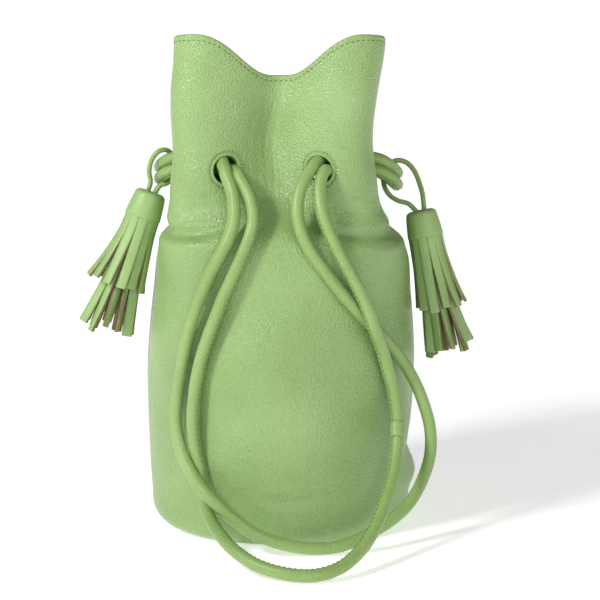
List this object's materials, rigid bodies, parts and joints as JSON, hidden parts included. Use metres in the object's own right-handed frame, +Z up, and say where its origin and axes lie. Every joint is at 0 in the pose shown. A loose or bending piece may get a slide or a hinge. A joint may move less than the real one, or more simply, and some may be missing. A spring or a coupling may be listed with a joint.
{
  "type": "bucket bag",
  "caption": "Soft leather drawstring bucket bag with a round flat bottom, a gathered neck with bound eyelets, two round shoulder straps and fringed tassels.",
  "frame": {"origin": "middle of the flat bottom, on the surface that the bag stands on", "axes": "+Z up through the mouth; -Y is the front, where the straps hang; +X is the right side seen from the front"},
  "size_m": [0.2256, 0.2162, 0.2813],
  "materials": {
    "pebbled_leather": "pebbled, soft sheen",
    "facing_leather": "smooth grain, satin",
    "strap_leather": "rolled and stitched, soft sheen",
    "binding_leather": "skived, rolled edge",
    "tassel_leather": "smooth grain, satin",
    "fringe_leather": "cut strips, flesh side open",
    "lining_cloth": "cotton twill",
    "fibre_board": "matt pressed fibre"
  },
  "bodies": {
    "bag": {"front_panel": "pebbled_leather", "back_panel": "pebbled_leather", "base_panel": "pebbled_leather", "base_board": "fibre_board", "base_lining": "lining_cloth", "lining": "lining_cloth", "mouth_facing": "facing_leather", "eyelet_front_right": "binding_leather", "eyelet_right_front": "binding_leather", "eyelet_right_back": "binding_leather", "eyelet_back_right": "binding_leather", "eyelet_back_left": "binding_leather", "eyelet_left_back": "binding_leather", "eyelet_left_front": "binding_leather", "eyelet_front_left": "binding_leather", "strap_one_neck": "strap_leather", "strap_two_neck": "strap_leather", "strap_one_lap": "strap_leather"},
    "strap_one": {"strap_one_loop": "strap_leather"},
    "strap_two": {"strap_two_loop": "strap_leather", "strap_two_lap": "strap_leather"},
    "right_hanger": {"right_tassel_hanger": "strap_leather"},
    "right_tassel": {"right_tassel_cap": "tassel_leather", "right_tassel_core": "tassel_leather", "right_tassel_upper_fringe": "fringe_leather", "right_tassel_lower_fringe": "fringe_leather"},
    "left_hanger": {"left_tassel_hanger": "strap_leather"},
    "left_tassel": {"left_tassel_cap": "tassel_leather", "left_tassel_core": "tassel_leather", "left_tassel_upper_fringe": "fringe_leather", "left_tassel_lower_fringe": "fringe_leather"}
  },
  "joints": [
    {"name": "strap_one_lift", "type": "hinge", "parent": "bag", "child": "strap_one", "pos_m": [0, -0.062, 0.208], "axis": [-1, 0, 0], "range_deg": [0, 140]},
    {"name": "strap_two_lift", "type": "hinge", "parent": "bag", "child": "strap_two", "pos_m": [0, -0.062, 0.208], "axis": [-1, 0, 0], "range_deg": [0, 140]},
    {"name": "right_hanger_swing", "type": "hinge", "parent": "bag", "child": "right_hanger", "pos_m": [0.0725, -0.003, 0.206], "axis": [0, -1, 0], "range_deg": [0, 10]},
    {"name": "right_tassel_swing", "type": "hinge", "parent": "right_hanger", "child": "right_tassel", "pos_m": [0.081, -0.013, 0.1855], "axis": [1, 0, 0], "range_deg": [-20, 20]},
    {"name": "left_hanger_swing", "type": "hinge", "parent": "bag", "child": "left_hanger", "pos_m": [-0.066, -0.0185, 0.2095], "axis": [0, 1, 0], "range_deg": [0, 6]},
    {"name": "left_tassel_swing", "type": "hinge", "parent": "left_hanger", "child": "left_tassel", "pos_m": [-0.0758, -0.0165, 0.196], "axis": [1, 0, 0], "range_deg": [-20, 20]}
  ],
  "couplings": [
    {"joint": "strap_two_lift", "follows": "strap_one_lift", "ratio": 1}
  ]
}
